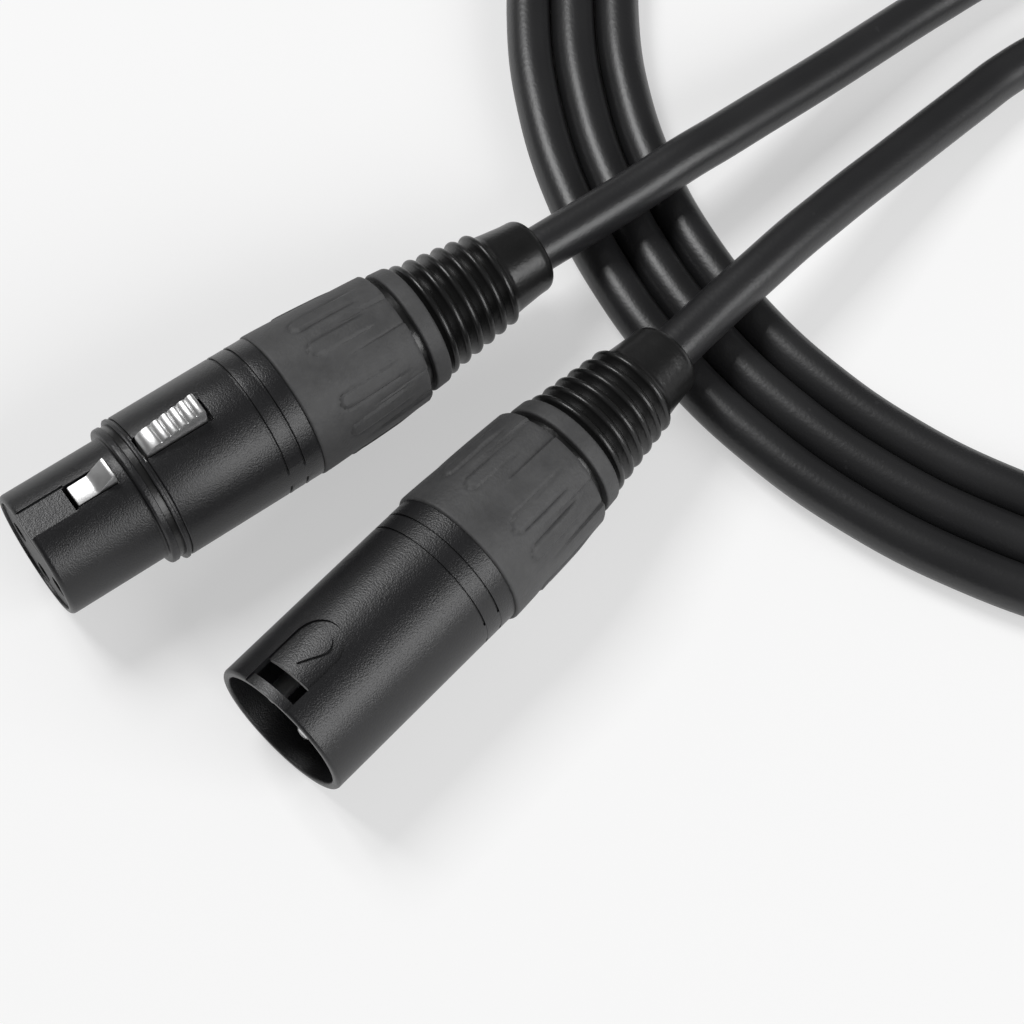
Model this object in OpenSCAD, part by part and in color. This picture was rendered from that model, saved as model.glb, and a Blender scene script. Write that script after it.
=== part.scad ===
// Balanced audio cable, coiled: a three-pole socket connector with a latch and a three-pole
// plug connector on one round cable. Each connector is drawn standing on its mouth (z = 0, key
// side towards +y) and is then laid on its side.

/* [Cable] */
// Outer diameter of the cable
cable_d = 6; // [5.6:0.1:6.2]
// Outer diameter of one insulated conductor
wire_d = 1.4; // [1.2:0.1:1.6]
// Turns lying side by side in the coil
coil_turns = 3; // [2:1:4]
// Centreline radius of the innermost turn on the side nearest the connectors
coil_near_r = 81.6; // [79:0.1:84]
// Centreline radius of the innermost turn at its left end
coil_left_r = 46; // [44:0.5:50]
// Centreline radius of the innermost turn at its right end
coil_right_r = 32; // [30:0.5:36]
// Centreline radius of the innermost turn on the far side
coil_far_r = 100; // [94:1:110]

/* [Plug shell] */
// Outer diameter of the plug shell
plug_shell_d = 18.5; // [18.3:0.05:18.9]
// Diameter of the mouth that takes the socket's nose
mouth_d = 16.45; // [16.3:0.05:16.6]
// Length of the plug shell in front of its grip
plug_shell_length = 29.4; // [28.6:0.1:32]
// Depth of the mouth down to the contact carrier
mouth_depth = 13.7; // [13:0.1:14.5]
// Width of the latch window across the top of the mouth
window_width = 6.5; // [5:0.1:7]
// Length of the latch window along the plug
window_length = 2.4; // [1.8:0.1:2.6]
// Distance from the rim to the latch window
window_offset = 1.3; // [1.1:0.05:1.6]
// Distance from the rim to the round end of the recessed arch
arch_length = 11.3; // [9.5:0.1:13]

/* [Socket shell] */
// Outer diameter of the socket body
socket_body_d = 19; // [18.8:0.05:19.2]
// Length of the socket shell in front of its grip
socket_shell_length = 34.6; // [33.6:0.1:36]
// Length of the nose that enters a plug
nose_length = 13.3; // [12.8:0.1:13.6]
// Wall of the nose around the contact carrier
nose_wall = 0.85; // [0.7:0.05:1]
// Outer diameter of the flange behind the nose
flange_d = 18.4; // [18:0.1:18.8]
// Width of the seal behind the flange
seal_width = 0.8; // [0.6:0.1:1]

/* [Contacts] */
// Diameter of a plug pin
pin_d = 2.4; // [2.2:0.05:2.5]
// Radius of the circle that the contacts stand on
contact_circle_r = 4.55; // [4.5:0.05:4.8]
// Angle of the two upper contacts from the lowest one
contact_angle = 75; // [68:1:80]
// Distance from the plug's rim to the tips of its pins
pin_setback = 2.4; // [2:0.1:3]

/* [Latch] */
// Width of the latch
latch_width = 2.9; // [2.6:0.1:3.1]
// Height of the hook above the axis at rest
hook_height = 9.6; // [9.3:0.05:9.7]
// Height of the push tab above the axis, at its front
tab_front_height = 10.3; // [10.1:0.1:10.8]
// Height of the push tab above the axis, at its rear
tab_rear_height = 12; // [11.2:0.1:12.2]
// Length of the push tab
tab_length = 8.4; // [7.6:0.1:8.8]
// Finger ridges across the push tab
tab_ridges = 6; // [4:1:8]
// Diameter of the pin that the latch turns on
pivot_d = 1.2; // [1:0.05:1.4]

/* [Grip] */
// Largest diameter of the grip, at its front
grip_front_d = 19.3; // [19.25:0.05:19.6]
// Diameter of the grip at its rear
grip_rear_d = 17; // [16.8:0.1:17.4]
// Length of the grip
grip_length = 16.4; // [15.6:0.1:20]
// Raised sectors round the grip
grip_sectors = 5; // [4:1:6]
// Width of one finger pad
pad_width = 2; // [1.6:0.1:2.4]
// Height of a finger pad above the grip
pad_height = 0.22; // [0.1:0.02:0.3]

/* [Boot] */
// Diameter of the boot's front collar
boot_collar_d = 16.4; // [16:0.1:16.8]
// Length of the boot's front collar
boot_collar_length = 2.4; // [2.2:0.1:4]
// Number of bending ribs
rib_count = 6; // [4:1:8]
// Distance from one rib to the next
rib_pitch = 1.97; // [1.8:0.01:2.2]
// Diameter of the first rib
first_rib_d = 15.2; // [14.8:0.1:15.8]
// Diameter of the last rib
last_rib_d = 12.6; // [12.2:0.1:13.2]
// Depth of the slots between the ribs
rib_depth = 0.9; // [0.5:0.1:1.1]
// Length of the plain sleeve at the end of the boot
tail_length = 5.9; // [5:0.1:8]
// Diameter of the plain sleeve where it starts
tail_d = 10.8; // [10.2:0.1:11.2]

/* [Placing] */
// Middle of the plug's mouth on the table
plug_place = [17.6, -31.3];
// Middle of the socket's face on the table
socket_place = [-19.2, -35.2];
// Turn of the socket away from the plug's direction
socket_turn = -11.66; // [-14:0.01:-9]
// Roll of the plug on the table, key side to the left
plug_roll = 8.2; // [0:0.1:15]

/* [Hidden] */
$fn = 64;

black_metal = [0.07, 0.07, 0.075];
black_plastic = [0.05, 0.05, 0.05];
grey_rubber = [0.16, 0.16, 0.16];
silver = [0.8, 0.8, 0.8];
jacket_black = [0.09, 0.09, 0.09];
wire_colours = ["gray", "firebrick", "white"];

// Clearances
mate_gap = 0.075;     // nose in mouth, radial
slip_gap = 0.05;      // pieces pushed into each other, radial
turn_gap = 0.05;      // latch on its pin, radial
latch_gap = 0.25;     // beside the latch
hook_play = 0.1;      // hook behind the edge of the plug's window
over = 1;             // how far a cutting body runs past what it cuts

// Bores that both shells share
mouth_r = mouth_d / 2;
plug_r = plug_shell_d / 2;
body_r = socket_body_d / 2;
nose_r = mouth_r - mate_gap;
nose_bore_r = nose_r - nose_wall;
rear_bore_r = 7.9;
ledge_width = 1;
cable_r = cable_d / 2;
pin_r = pin_d / 2;
pivot_r = pivot_d / 2;
rim_round = 0.45;
nose_round = nose_wall - 0.1;

// Solder cups behind the contacts
cup_length = 3.5;
cup_r = 1.5;
stop_r = 1.9;
stop_length = 0.6;

// Stations of the socket, from its face
carrier_setback = 0.35;
seal_start = nose_length + 1;
seal_end = seal_start + seal_width;
band_end = seal_end + 0.5;
body_start = band_end + 0.3;
slot_front = 6.1;
hook_end = nose_length - window_offset - hook_play;
slot_end = hook_end + latch_gap;
socket_ledge = seal_end - 0.1;
socket_carrier_back = 9.6;
socket_carrier_end = socket_shell_length - socket_carrier_back;
pivot_back = 6.4;
pivot_station = socket_shell_length - pivot_back;
pivot_height = 6;
tab_slot_front = band_end;
tab_front = body_start + 0.15;
tab_end = tab_front + tab_length;
tab_slot_end = tab_end + 0.7;
first_ridge = 2.3;
arm_top = nose_bore_r - 0.3;
arm_bottom = arm_top - 1.1;
channel_floor = arm_bottom - 2.3;
barrel_r = pivot_r + 0.7;
socket_cup_end = socket_carrier_end + cup_length;
seal_inner_r = flange_d / 2 - 0.6;
seal_recess = 0.2;

// Turned socket contacts
contact_r = 1.6;
contact_front = 2;
contact_bore_r = pin_r + 0.025;
contact_bore_depth = 12;

// Stations of the plug, from its rim
plug_carrier_front = mouth_depth + ledge_width;
plug_carrier_end = plug_shell_length - 8.6;
plug_cup_end = plug_carrier_end + cup_length;
ledge_r = 7.2;
shank_r = pin_r + 0.4;
arch_depth = 0.3;

// Recess for the earthing spring in the side of each contact carrier
pocket_depth = 0.65;
pocket_width = 3;
pocket_length = 5;
pocket_offset = 1.5;

// Stations behind the grip's front face, the same on both connectors
chuck_front = -4.6;
sleeve_front = -4.2;
cone_start = 6.2;
cone_end = 13.6;
core_r = 7.55;
sleeve_r = rear_bore_r - 2 * slip_gap;
sleeve_bore_r = 6.55;
core_bore_r = 4.6;
ring_r = 7.2;
ring_width = 1.1;
spigot_r = 6;
spigot_length = 2;
collar_start = grip_length + ring_width;
collar_end = collar_start + boot_collar_length;
first_rib = collar_end + 1.05;
rib_slot = 1.1;
tail_start = first_rib + (rib_count - 1) * rib_pitch + 1.4;
boot_end = tail_start + tail_length;
wire_end = 9.3;
lead_start = wire_end + 0.1;
chuck_bore_r = 5.4;
jaw_start = 7;
jaw_slots = 3;
skirt_r = rear_bore_r - slip_gap;
skirt_bore_r = 6.6;
axis_height = grip_front_d / 2;

// Sectors and finger pads of the grip, turned from the left side of the connector
socket_grip_start = 111.2;
plug_grip_start = 101;
lobe_share = 0.62;
pad_turns = [28.5, 55];
pad_front = 4.4;
pad_end = 14.6;

// Decorative grooves round both bodies, which fade to a faint line at one side
groove_width = 0.3;
groove_depth = 0.25;
groove_fade = 0.03;
groove_gap_start = 165;
groove_gap = 21;
groove_back = [4.8, 2.5];

// The oval coil: four arcs that meet smoothly, placed by the outermost turn's nearest point
coil_steps = 12;
near_point = [34.66, 37.14];
near_from = 215;
near_to = 295;
near_middle = near_point + [0, (coil_turns - 1) * cable_d + coil_near_r];
left_middle = near_middle + on_circle(coil_near_r - coil_left_r, near_from);
right_middle = near_middle + on_circle(coil_near_r - coil_right_r, near_to);
ends_apart = right_middle - left_middle;
span = norm(ends_apart);
left_reach = coil_far_r - coil_left_r;
along = (pow(left_reach, 2) - pow(coil_far_r - coil_right_r, 2) + pow(span, 2)) / (2 * span);
aside = sqrt(pow(left_reach, 2) - pow(along, 2));
far_middle = left_middle + (along * ends_apart + aside * [ends_apart.y, -ends_apart.x]) / span;
left_turn = heading(left_middle - far_middle);
right_turn = heading(right_middle - far_middle);

// Routes of the cable from both connectors to the coil: x, y and how far the cable is raised,
// from 0 where it lies on the table to 1 at the connector's axis
male_route = [
    behind(plug_place, 0, plug_shell_length + lead_start), [17.6, 22, 1], [17.6, 36.9, 1], [17.6, 45, 0.96], [17.8, 53.9, 0.92],
    [17.9, 60, 0.86], [18.1, 66, 0.75], [18.3, 72, 0.62], [18.6, 78, 0.48], [18.9, 84, 0.35],
    [19.2, 90, 0.22], [19.6, 96, 0.12], [20.1, 102, 0.05], [21.8, 109.8, 0], [25.2, 117, 0],
    [30.6, 122.9, 0], [37.4, 127.1, 0], [45.1, 129.4, 0], [53.1, 129.6, 0], [60.8, 127.6, 0],
    [67.8, 123.7, 0], [73.5, 118, 0], [77.5, 112.3, 0], [81.1, 106.3, 0]
];
female_route = [
    behind(socket_place, socket_turn, socket_shell_length + lead_start), [-7.5, 21.4, 1], [-4.55, 35.8, 1], [-2.95, 44, 0.96], [-1.5, 52, 0.92],
    [-0.2, 60, 0.9], [0.75, 66, 0.8], [1.5, 72, 0.67], [2.25, 78, 0.53], [3, 84, 0.4],
    [3.7, 90, 0.28], [4.4, 96, 0.17], [5.2, 102, 0.08], [6.4, 109, 0.02], [8.4, 119.3, 0.05],
    [8.9, 129.7, 0.27], [5.5, 139.2, 0.57], [-1, 146.9, 0.84], [-9.7, 151.9, 0.9],
    [-19.6, 153.7, 0.9], [-29.6, 151.9, 0.9], [-38.3, 146.9, 0.9], [-44.8, 139.1, 0.9]
];

function on_circle(r, a) = [r * cos(a), r * sin(a)];

function heading(v) = atan2(v.y, v.x);

// Point on a connector's axis, a distance behind its mouth
function behind(place, turn, station) = [place.x - station * sin(turn), place.y + station * cos(turn), 1];

// Corner points of an arc of radius r about a middle, from one angle to another
function arc(middle, r, from, to, steps = 4) =
    [for (i = [0 : steps]) middle + on_circle(r, from + (to - from) * i / steps)];

// Place of contact 1, 2 or 3 seen from the mouth: 1 and 2 above, 3 at the bottom
function contact_place(n) = on_circle(contact_circle_r, 270 + [contact_angle, -contact_angle, 0][n - 1]);

// Radius of the grip's surface, u behind its front
function grip_r(u) = (grip_front_d - (grip_front_d - grip_rear_d) * pow(u / grip_length, 1.35)) / 2;

// The cable's centreline along a route, in place
function lying(route) = [for (p = route) [p.x, p.y, cable_r + p.z * (axis_height - cable_r)]];

// A round cord along a row of points, as one closed skin
module cord(points, r, sides, side_hint) {
    last = len(points) - 1;
    rings = [for (i = [0 : last])
        let (
            ahead = points[min(i + 1, last)] - points[max(i - 1, 0)],
            across = cross(ahead, side_hint),
            u = across / norm(across),
            other = cross(u, ahead),
            v = other / norm(other)
        )
        for (k = [0 : sides - 1]) points[i] + r * (cos(360 * k / sides) * u + sin(360 * k / sides) * v)
    ];
    skin = [for (i = [0 : last - 1], k = [0 : sides - 1])
        let (a = i * sides + k, b = i * sides + (k + 1) % sides)
        [b, b + sides, a + sides, a]
    ];
    front = [for (k = [sides - 1 : -1 : 0]) k];
    back = [for (k = [0 : sides - 1]) last * sides + k];
    polyhedron(points = rings, faces = concat([front], skin, [back]), convexity = 10);
}

// A tube between two stations
module ring(r_out, r_in, from, to) {
    translate([0, 0, from])
        difference() {
            cylinder(r = r_out, h = to - from);
            translate([0, 0, -over]) cylinder(r = r_in, h = to - from + 2 * over);
        }
}

module rod(r, from, to) {
    translate([0, 0, from]) cylinder(r = r, h = to - from);
}

// A block centred on the key side's plane
module block(width, low, high, from, to) {
    translate([-width / 2, low, from]) cube([width, high - low, to - from]);
}

module at_contact(n) {
    place = contact_place(n);
    translate([place.x, place.y, 0]) children();
}

// Lays a standing connector on the table
module laid(place, turn, roll) {
    translate([place.x, place.y, axis_height])
        rotate([0, 0, turn]) rotate([90, 0, 180]) rotate([0, 0, -roll]) children();
}

module as_socket() {
    laid(socket_place, socket_turn, 0) children();
}

module as_plug() {
    laid(plug_place, 0, plug_roll) children();
}

module body_grooves(r, shell_length) {
    for (back = groove_back)
        translate([0, 0, shell_length - back - groove_width / 2]) {
            rotate([0, 0, groove_gap_start + groove_gap])
                rotate_extrude(angle = 360 - groove_gap, $fn = 96)
                    translate([r - groove_depth, 0]) square([groove_depth + over, groove_width]);
            ring(r + over, r - groove_fade, 0, groove_width);
        }
}

/* Socket connector */

module female_shell() {
    outline = concat(
        [[nose_bore_r, 0]],
        arc([nose_r - nose_round, nose_round], nose_round, -90, 0, 6),
        [
            [nose_r, nose_length],
            [flange_d / 2 - 0.3, nose_length],
            [flange_d / 2, nose_length + 0.3],
            [flange_d / 2, seal_start],
            [seal_inner_r, seal_start],
            [seal_inner_r, seal_end],
            [body_r + 0.1, seal_end],
            [body_r + 0.1, band_end],
            [body_r - 0.3, band_end],
            [body_r - 0.3, body_start],
            [body_r, body_start],
            [body_r, socket_shell_length],
            [rear_bore_r, socket_shell_length],
            [rear_bore_r, socket_ledge],
            [nose_bore_r, socket_ledge]
        ]
    );
    slot_width = latch_width + 2 * latch_gap;
    strip_width = slot_width + 0.5;
    strip_floor = sqrt(nose_r * nose_r - pow(strip_width / 2, 2));
    color(black_metal) as_socket()
        difference() {
            rotate_extrude($fn = 96) polygon(outline);
            body_grooves(body_r, socket_shell_length);
            block(slot_width, nose_bore_r - over, body_r + over, slot_front, slot_end);
            block(slot_width, nose_bore_r - over, body_r + over, tab_slot_front, tab_slot_end);
            block(2 * nose_r, strip_floor, nose_r + over, -over, slot_front + over);
        }
}

module female_gasket() {
    color(black_plastic) as_socket()
        ring(flange_d / 2 - seal_recess, seal_inner_r, seal_start, seal_end);
}

module female_insert() {
    channel_width = latch_width + 2 * latch_gap;
    ear_width = 2.6;
    ear_floor = 3;
    face_line_r = 6.6;
    color(black_plastic) as_socket()
        difference() {
            union() {
                rod(nose_bore_r - slip_gap, carrier_setback, socket_ledge);
                rod(skirt_r, socket_ledge, socket_carrier_end);
                ring(skirt_r, skirt_bore_r, socket_carrier_end, socket_shell_length + chuck_front);
                intersection() {
                    rod(skirt_r, socket_carrier_end, socket_shell_length + chuck_front);
                    block(channel_width + 2 * ear_width, ear_floor, skirt_r, socket_carrier_end - over,
                        socket_shell_length);
                }
            }
            // channel that the latch and its spring lie in
            block(channel_width, channel_floor, skirt_r + over, slot_front - 0.3, socket_shell_length);
            // pin hole through the two ears
            translate([0, pivot_height, pivot_station])
                rotate([0, 90, 0]) cylinder(r = pivot_r, h = 2 * skirt_r, center = true, $fn = 32);
            for (n = [1 : 3]) at_contact(n) {
                rod(pin_r + 0.15, carrier_setback - over, contact_front + over);
                rod(contact_r + slip_gap, contact_front, socket_carrier_end + over);
            }
            // curved line across the face, under the key side
            intersection() {
                translate([0, nose_r + 1.05, 0])
                    ring(face_line_r, face_line_r - 0.3, carrier_setback - over, carrier_setback + 0.25);
                rod(nose_bore_r - 0.9, carrier_setback - over, carrier_setback + over);
            }
            ground_pocket(socket_ledge + pocket_offset);
        }
}

module socket_contact(n) {
    slit = 0.3;
    slit_length = 8;
    color(silver) as_socket() at_contact(n)
        difference() {
            union() {
                rod(contact_r, contact_front, socket_carrier_end);
                rod(stop_r, socket_carrier_end, socket_carrier_end + stop_length);
                rod(cup_r, socket_carrier_end, socket_carrier_end + cup_length);
            }
            rod(contact_bore_r, contact_front - over, contact_front + contact_bore_depth);
            rod(wire_d / 2, socket_carrier_end + 1.5, socket_carrier_end + cup_length + over);
            translate([-slit / 2, 0, contact_front - over]) cube([slit, contact_r + over, slit_length + over]);
        }
}

// Height of the push tab's sloped top at a station
function tab_top(s) = tab_front_height + (tab_rear_height - tab_front_height) * (s - tab_front) / tab_length;

// Sloped top of the push tab with grooves between its finger ridges, as (station, height)
function tab_outline() =
    let (pitch = (tab_length - first_ridge) / (tab_ridges - 1), half = 0.22 * pitch, depth = 0.35)
    [for (i = [0 : tab_ridges - 2])
        let (s = tab_front + first_ridge + i * pitch)
        each [[s - half, tab_top(s - half)], [s, tab_top(s) - depth], [s + half, tab_top(s + half)]]
    ];

// Bright lever: hook, arm, ridged tab and pivot barrel
module latch() {
    tongue_height = 7.85;
    hook_start = slot_front + 3.2;
    outline = concat(
        [
            [slot_front + 0.5, arm_top - 0.3],
            [slot_front + 0.5, tongue_height - 0.15],
            [slot_front + 0.65, tongue_height],
            [hook_start, tongue_height],
            [hook_end - 0.3, hook_height],
            [hook_end, hook_height - 0.1],
            [hook_end, arm_top],
            [tab_front + 0.15, arm_top],
            [tab_front + 0.15, body_r],
            [tab_front, tab_front_height]
        ],
        tab_outline(),
        [
            [tab_end - 0.2, tab_rear_height],
            [tab_end, tab_rear_height - 0.3],
            [tab_end, arm_top],
            [pivot_station, pivot_height],
            [pivot_station, pivot_height - barrel_r],
            [tab_end - 2, arm_bottom],
            [hook_end, arm_bottom],
            [slot_front + 2.5, arm_bottom]
        ]
    );
    color(silver) as_socket()
        difference() {
            union() {
                rotate([0, -90, 0])
                    translate([0, 0, -latch_width / 2]) linear_extrude(latch_width) polygon(outline);
                translate([0, pivot_height, pivot_station])
                    rotate([0, 90, 0]) cylinder(r = barrel_r, h = latch_width, center = true, $fn = 48);
            }
            translate([0, pivot_height, pivot_station])
                rotate([0, 90, 0]) cylinder(r = pivot_r + turn_gap, h = 2 * latch_width, center = true, $fn = 48);
        }
}

module latch_spring() {
    strip = 0.25;
    foot = socket_carrier_end - 0.6;
    knee = foot - 4;
    leaf_rise = 5;
    tip = knee - leaf_rise;
    color(silver) as_socket()
        rotate([0, -90, 0])
            translate([0, 0, -latch_width * 0.4])
                linear_extrude(latch_width * 0.8)
                    polygon([
                        [foot, channel_floor], [knee, channel_floor], [tip, arm_bottom - strip],
                        [tip - 0.5, arm_bottom - strip], [tip - 0.5, arm_bottom], [tip + 0.1, arm_bottom],
                        [knee + 0.1, channel_floor + strip], [foot, channel_floor + strip]
                    ]);
}

module latch_pin() {
    color(silver) as_socket()
        translate([0, pivot_height, pivot_station])
            rotate([0, 90, 0])
                cylinder(r = pivot_r, h = latch_width + 2 * latch_gap + 3.4, center = true, $fn = 48);
}

/* Plug connector */

module male_shell() {
    outline = concat(
        arc([mouth_r + rim_round * 0.6, rim_round * 0.6], rim_round * 0.6, 180, 270, 3),
        arc([plug_r - rim_round, rim_round], rim_round, -90, 0, 5),
        [
            [plug_r, plug_shell_length],
            [rear_bore_r, plug_shell_length],
            [rear_bore_r, plug_carrier_front],
            [ledge_r, plug_carrier_front],
            [ledge_r, mouth_depth],
            [mouth_r, mouth_depth]
        ]
    );
    color(black_metal) as_plug()
        difference() {
            rotate_extrude($fn = 96) polygon(outline);
            rotate([0, 0, plug_roll]) body_grooves(plug_r, plug_shell_length);
            block(window_width, 0, plug_r + over, window_offset, window_offset + window_length);
            difference() {
                arch(window_width / 2, -over, arch_length);
                rod(plug_r - arch_depth, -2 * over, arch_length + over);
                teardrop();
            }
        }
}

// Flat strip with a round end that stands up through the top of the shell
module arch(r, from, to) {
    block(2 * r, 0, plug_r + over, from, to - r);
    translate([0, 0, to - r]) rotate([-90, 0, 0]) cylinder(r = r, h = plug_r + over);
}

// Drop-shaped mark, its point towards the mouth
module teardrop() {
    drop_r = window_width / 4;
    drop_middle = arch_length - 1.3 - drop_r;
    drop_point = drop_middle - 2.1 * drop_r;
    lean = acos(drop_r / (drop_middle - drop_point));
    rotate([-90, 0, 0])
        linear_extrude(plug_r + over) {
            translate([0, -drop_middle]) circle(r = drop_r, $fn = 48);
            polygon([
                [0, -drop_point],
                [0, -drop_middle] + on_circle(drop_r, 90 - lean),
                [0, -drop_middle],
                [0, -drop_middle] + on_circle(drop_r, 90 + lean)
            ]);
        }
}

module male_insert() {
    color(black_plastic) as_plug()
        difference() {
            union() {
                rod(ledge_r - slip_gap, mouth_depth, plug_carrier_front);
                rod(skirt_r, plug_carrier_front, plug_carrier_end);
                ring(skirt_r, skirt_bore_r, plug_carrier_end, plug_shell_length + chuck_front);
            }
            for (n = [1 : 3]) at_contact(n)
                rod(shank_r + slip_gap, mouth_depth - over, plug_carrier_end + over);
            ground_pocket(plug_carrier_front + pocket_offset);
        }
}

module male_pin(n) {
    tip_round = pin_r * 0.7;
    outline = concat(
        [[0, pin_setback]],
        arc([pin_r - tip_round, pin_setback + tip_round], tip_round, -90, 0, 5),
        [
            [pin_r, mouth_depth],
            [shank_r, mouth_depth],
            [shank_r, plug_carrier_end],
            [stop_r, plug_carrier_end],
            [stop_r, plug_carrier_end + stop_length],
            [cup_r, plug_carrier_end + stop_length],
            [cup_r, plug_carrier_end + cup_length],
            [wire_d / 2, plug_carrier_end + cup_length],
            [wire_d / 2, plug_carrier_end + 1.5],
            [0, plug_carrier_end + 1.5]
        ]
    );
    color(silver) as_plug() at_contact(n)
        rotate_extrude($fn = 48) polygon(outline);
}

/* Pieces that both connectors have */

// Recess in the side of a contact carrier for the earthing spring
module ground_pocket(start) {
    translate([skirt_r - pocket_depth, -pocket_width / 2, start])
        cube([pocket_depth + over, pocket_width, pocket_length]);
}

// Bent strip that earths the shell
module ground_contact(start) {
    strip = 0.2;
    inner = skirt_r - pocket_depth;
    bump = pocket_depth - strip - 0.12;
    side = 2.4;
    color(silver)
        translate([0, side / 2, start])
            rotate([90, 0, 0])
                linear_extrude(side)
                    polygon([
                        [inner, 0.2], [inner + strip, 0.2], [inner + strip, 1.4],
                        [inner + strip + bump, 2.3], [inner + strip + bump, 2.7], [inner + strip, 3.6],
                        [inner + strip, 4.8], [inner, 4.8], [inner, 3.5],
                        [inner + bump, 2.6], [inner + bump, 2.4], [inner, 1.5]
                    ]);
}

// Clamp that closes on the cable as the nut is tightened, drawn from the grip's front
module chuck() {
    color(black_plastic)
        difference() {
            rotate_extrude($fn = 96)
                polygon([
                    [chuck_bore_r, chuck_front],
                    [sleeve_r, chuck_front],
                    [sleeve_r, sleeve_front],
                    [sleeve_bore_r - slip_gap, sleeve_front],
                    [sleeve_bore_r - slip_gap, cone_start - 0.2],
                    [core_bore_r - slip_gap, cone_end - 0.2],
                    [cable_r + slip_gap, cone_end - 0.2],
                    [cable_r + slip_gap, jaw_start],
                    [chuck_bore_r, jaw_start - 2]
                ]);
            for (i = [0 : jaw_slots - 1])
                rotate([0, 0, 90 + 360 * i / jaw_slots])
                    translate([0, -0.5, sleeve_front + 3]) cube([sleeve_bore_r + over, 1, cone_end]);
        }
}

// Hard core of the back nut: threaded sleeve, clamping cone and the spigot for the boot
module back_nut() {
    color(black_plastic)
        rotate_extrude($fn = 96)
            polygon([
                [sleeve_bore_r, sleeve_front],
                [sleeve_r, sleeve_front],
                [sleeve_r, 0],
                [core_r, 0],
                [core_r, grip_length],
                [ring_r, grip_length],
                [ring_r, collar_start],
                [spigot_r, collar_start],
                [spigot_r, collar_start + spigot_length],
                [core_bore_r, collar_start + spigot_length],
                [core_bore_r, cone_end],
                [sleeve_bore_r, cone_start]
            ]);
}

// Soft grip over the nut's core, with raised sectors and finger pads
module grip(start) {
    lip_round = 0.35;
    lobe_front = 6;
    lobe_height = 0.3;
    sector = 360 / grip_sectors;
    steps = 8;
    surface = [for (i = [1 : steps]) let (u = grip_length * i / steps) [grip_r(u), u]];
    raised = [for (i = [0 : steps])
        let (u = lobe_front + (grip_length - lobe_front) * i / steps)
        [grip_r(u) + lobe_height * pow(i / steps, 0.7), u]
    ];
    color(grey_rubber)
        difference() {
            union() {
                rotate_extrude($fn = 96)
                    polygon(concat(
                        [[core_r + slip_gap, 0], [grip_front_d / 2 - lip_round, 0], [grip_front_d / 2, lip_round]],
                        surface,
                        [[core_r + slip_gap, grip_length]]
                    ));
                for (i = [0 : grip_sectors - 1])
                    rotate([0, 0, start + i * sector])
                        rotate_extrude(angle = sector * lobe_share, $fn = 96)
                            polygon(concat([[core_r + 0.4, lobe_front]], raised, [[core_r + 0.4, grip_length]]));
                intersection() {
                    pad_skin(steps);
                    for (i = [0 : grip_sectors - 1], turn = pad_turns)
                        rotate([0, 0, start + i * sector + turn]) pad();
                }
            }
            translate([0, 0, -over]) cylinder(r = core_r + slip_gap, h = grip_length + 2 * over, $fn = 96);
        }
}

// Tapered sleeve that stands one pad height above the grip
module pad_skin(steps) {
    rotate_extrude($fn = 96)
        polygon(concat(
            [for (i = [0 : steps])
                let (u = pad_front - over + (pad_end - pad_front + 2 * over) * i / steps)
                [grip_r(u) + pad_height, u]
            ],
            [[core_r + 0.2, pad_end + over], [core_r + 0.2, pad_front - over]]
        ));
}

// Upright bar with a round front, which cuts one finger pad out of the sleeve
module pad() {
    translate([0, -pad_width / 2, pad_front + pad_width / 2])
        cube([grip_front_d, pad_width, pad_end - pad_front - pad_width / 2]);
    translate([0, 0, pad_front + pad_width / 2])
        rotate([0, 90, 0]) cylinder(r = pad_width / 2, h = grip_front_d, $fn = 32);
}

// Bending protection: collar, ribs and a plain sleeve that closes round the cable
module boot() {
    tail_end_d = tail_d - 1.1;
    end_round = 1.6;
    rib_r = [for (i = [0 : rib_count - 1])
        (first_rib_d + (last_rib_d - first_rib_d) * i / (rib_count - 1)) / 2];
    crest = (rib_pitch - rib_slot) / 2;
    ribs = [for (i = [0 : rib_count - 1])
        let (s = first_rib + i * rib_pitch, r = rib_r[i], low = r - rib_depth)
        each concat(
            [[low, s - crest]],
            arc([r - crest, s], crest, -80, 80, 4),
            [[low, s + crest]]
        )
    ];
    color(grey_rubber)
        difference() {
            rotate_extrude($fn = 96)
                polygon(concat(
                    [
                        [cable_r + slip_gap, collar_start],
                        [boot_collar_d / 2, collar_start],
                        [boot_collar_d / 2 - 0.4, collar_end],
                        [rib_r[0] - rib_depth, collar_end]
                    ],
                    ribs,
                    [
                        [rib_r[rib_count - 1] - rib_depth, tail_start],
                        [tail_d / 2, tail_start]
                    ],
                    arc([tail_end_d / 2 - end_round, boot_end - end_round], end_round, 0, 80, 5),
                    [[cable_r + slip_gap, boot_end]]
                ));
            rod(spigot_r + slip_gap, collar_start - over, collar_start + spigot_length + 0.1);
        }
}

// Insulated conductor from a contact's cup to the end of the cable
module wire(n, cup_end, cable_end) {
    place = contact_place(n);
    spread = [1, 1, 0.55, 0.36, 0.27];
    stations = [cup_end - 1.9, cup_end + 0.6, cup_end + 0.55 * (cable_end - cup_end),
        cup_end + 0.8 * (cable_end - cup_end), cable_end];
    color(wire_colours[n - 1])
        cord([for (i = [0 : 4]) [place.x * spread[i], place.y * spread[i], stations[i]]],
            wire_d / 2 - 0.02, 8, [0, 1, 0]);
}

module behind_socket() {
    as_socket() translate([0, 0, socket_shell_length]) children();
}

module behind_plug() {
    as_plug() translate([0, 0, plug_shell_length]) children();
}

/* Coil */

// Section of the turns lying side by side, as (distance outwards, height) points
function coil_section() =
    let (width = (coil_turns - 1) * cable_d)
    concat(arc([width, cable_r], cable_r, -90, 90), arc([0, cable_r], cable_r, 90, 270));

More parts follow.
